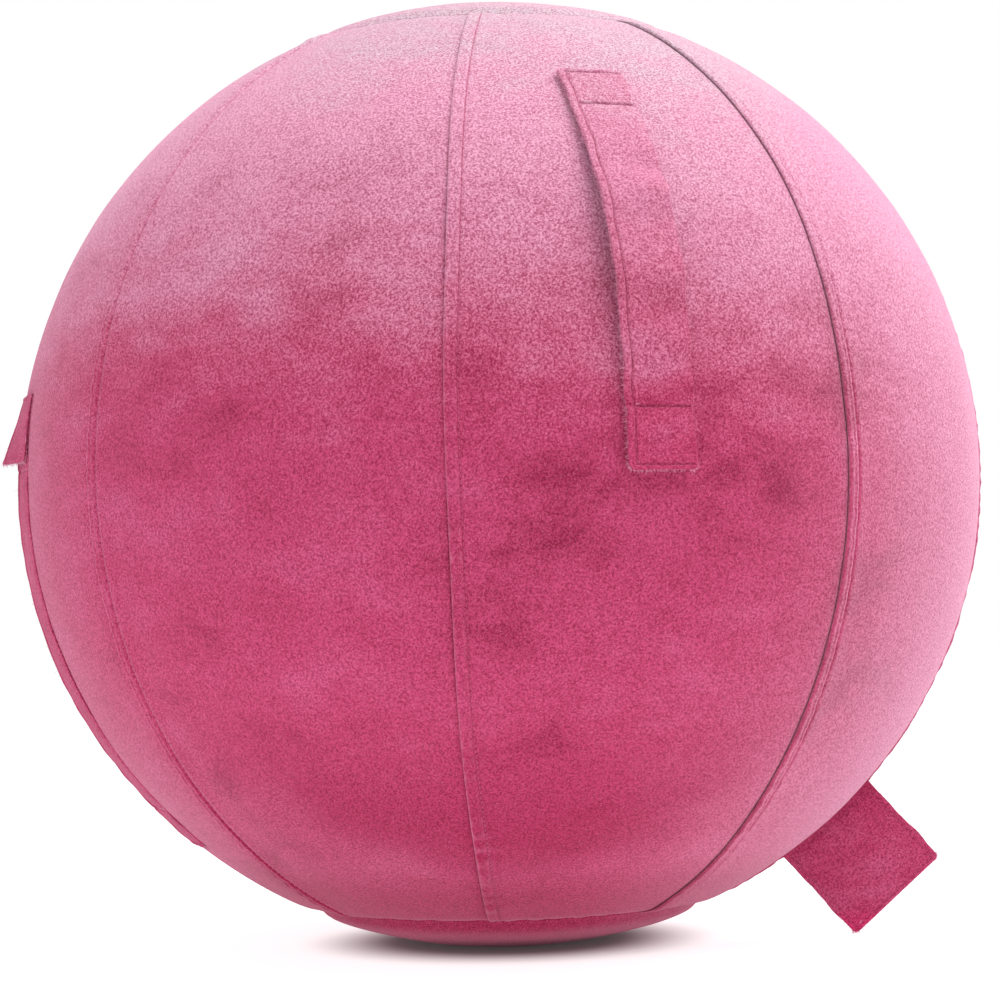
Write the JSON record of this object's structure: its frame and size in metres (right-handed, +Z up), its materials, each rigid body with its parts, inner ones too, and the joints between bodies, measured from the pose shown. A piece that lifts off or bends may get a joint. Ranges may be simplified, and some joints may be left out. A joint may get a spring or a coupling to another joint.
{
  "type": "exercise ball",
  "caption": "Inflatable sitting and exercise ball in a fitted plush cover of sewn gores, with carry straps, a grip tab and a rear zip.",
  "frame": {"origin": "centre of the flat foot that the ball rests on, on the floor", "axes": "+Z up; -Y is the front, where the front carry strap runs up the middle of a gore; +X is to the right of someone who faces that strap"},
  "size_m": [0.6631, 0.6574, 0.636],
  "materials": {
    "plush": "short-pile velvet with blotchy nap and a pale sheen at grazing angles",
    "strap_plush": "the same velvet, doubled, folded and edge-stitched",
    "zip_tape": "herringbone woven tape",
    "zip_coil": "dyed nylon coil",
    "zip_metal": "satin nickel-plated die casting",
    "bladder_pvc": "smooth soft PVC",
    "valve_plastic": "moulded white plastic"
  },
  "bodies": {
    "cover": {"bladder": "bladder_pvc", "valve_seat": "valve_plastic", "valve_plug": "valve_plastic", "gore_1": "plush", "gore_2": "plush", "gore_3": "plush", "gore_4": "plush", "gore_5": "plush", "gore_6": "plush", "gore_7": "plush", "gore_8": "plush", "top_cap": "plush", "bottom_cap": "plush", "front_handle_top_end": "strap_plush", "left_handle_top_end": "strap_plush", "left_handle_bottom_end": "strap_plush", "zip_tape_left": "zip_tape", "zip_tape_right": "zip_tape", "zip_coil_left": "zip_coil", "zip_coil_right": "zip_coil", "zip_bottom_stop": "zip_metal", "zip_top_stop": "zip_metal"},
    "front_handle": {"front_handle": "strap_plush"},
    "front_handle_end": {"front_handle_bottom_end": "strap_plush"},
    "left_handle": {"left_handle": "strap_plush"},
    "left_flap": {"left_handle_flap": "strap_plush"},
    "tab": {"grip_tab": "strap_plush"},
    "zip_slider": {"zip_slider": "zip_metal"},
    "zip_pull": {"zip_pull": "zip_metal"}
  },
  "joints": [
    {"name": "front_handle_lift", "type": "slide", "parent": "cover", "child": "front_handle", "axis": [-0.0145, -0.9244, 0.3811], "range_m": [0, 0.012], "stiffness_N_per_m": 100, "springref_m": -0.001},
    {"name": "front_end_fold", "type": "hinge", "parent": "cover", "child": "front_handle_end", "pos_m": [-0.00517, -0.32877, 0.33607], "axis": [-0.9999, 0.0157, 0], "range_deg": [0, 100], "stiffness_Nm_per_rad": 0.004},
    {"name": "left_handle_lift", "type": "slide", "parent": "cover", "child": "left_handle", "axis": [-0.937, 0, -0.3494], "range_m": [0, 0.012], "stiffness_N_per_m": 100, "springref_m": -0.001},
    {"name": "left_flap_fold", "type": "hinge", "parent": "cover", "child": "left_flap", "pos_m": [-0.32755, 0, 0.36841], "axis": [0, 1, 0], "range_deg": [0, 110], "stiffness_Nm_per_rad": 0.004},
    {"name": "tab_fold", "type": "hinge", "parent": "cover", "child": "tab", "pos_m": [0.20173, -0.08356, 0.07449], "axis": [0.6887, -0.2853, 0.6665], "range_deg": [-80, 80], "stiffness_Nm_per_rad": 0.05},
    {"name": "zip_travel", "type": "hinge", "parent": "cover", "child": "zip_slider", "pos_m": [0.00442, 0.01066, 0.31345], "axis": [-0.9239, 0.3827, 0], "range_deg": [0, 75]},
    {"name": "zip_pull_swing", "type": "hinge", "parent": "zip_slider", "child": "zip_pull", "pos_m": [0.11806, 0.28503, 0.42313], "axis": [0.9239, -0.3827, 0], "range_deg": [0, 150]}
  ]
}
